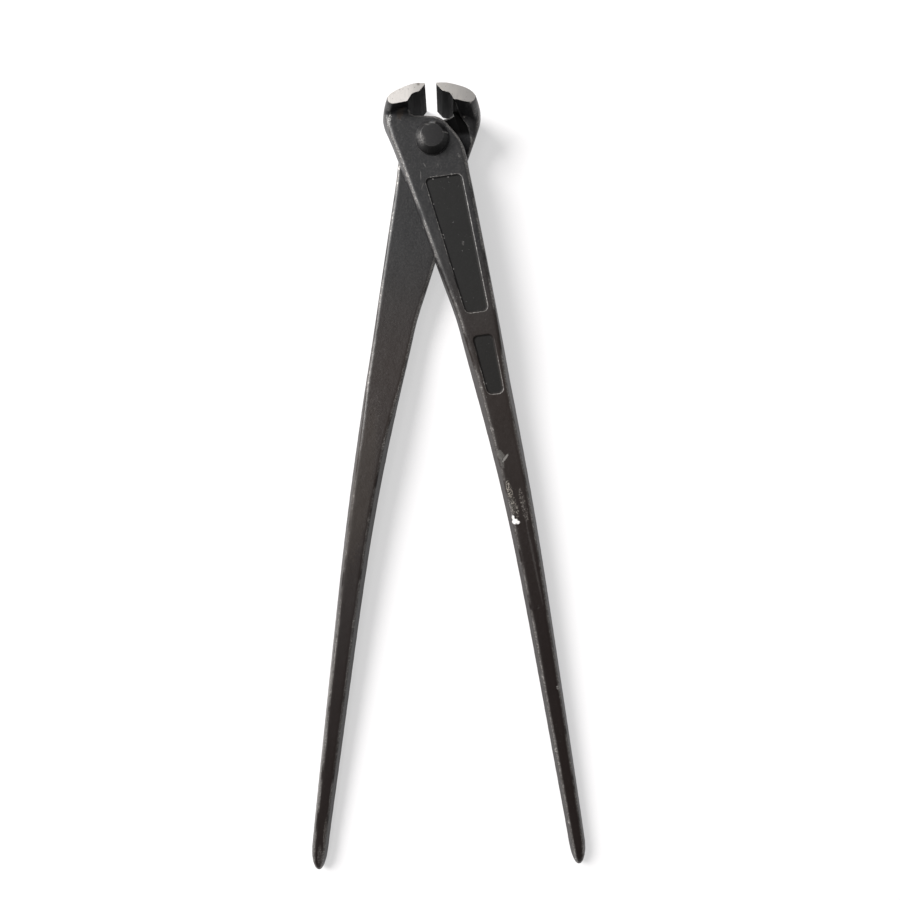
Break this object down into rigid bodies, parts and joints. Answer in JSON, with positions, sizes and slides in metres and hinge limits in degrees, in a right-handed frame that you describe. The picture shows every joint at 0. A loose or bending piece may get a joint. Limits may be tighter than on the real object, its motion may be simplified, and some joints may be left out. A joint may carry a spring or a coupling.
{
  "type": "end cutting nippers",
  "caption": "End cutting nippers with crescent jaws across the tool, a lapped and riveted joint and long plain forged handles.",
  "frame": {"origin": "on the rivet's axis, in the plane where the two levers lap", "axes": "+Y towards the cutting edges, +Z out of the front lever along the rivet's axis, +X to the right seen from the front; the levers stand open by 13 degrees, evenly about the YZ plane"},
  "size_m": [0.1068, 0.2971, 0.026],
  "materials": {
    "forged_lever": "black forging skin over tool steel, jaw faces ground bright",
    "rivet": "blackened steel rivet with a turned front head"
  },
  "bodies": {
    "back_half": {"back_lever": "forged_lever", "rivet": "rivet"},
    "front_half": {"front_lever": "forged_lever"}
  },
  "joints": [
    {"name": "jaw_pivot", "type": "hinge", "parent": "back_half", "child": "front_half", "pos_m": [0, 0, 0], "axis": [0, 0, 1], "range_deg": [-13, 30]}
  ]
}
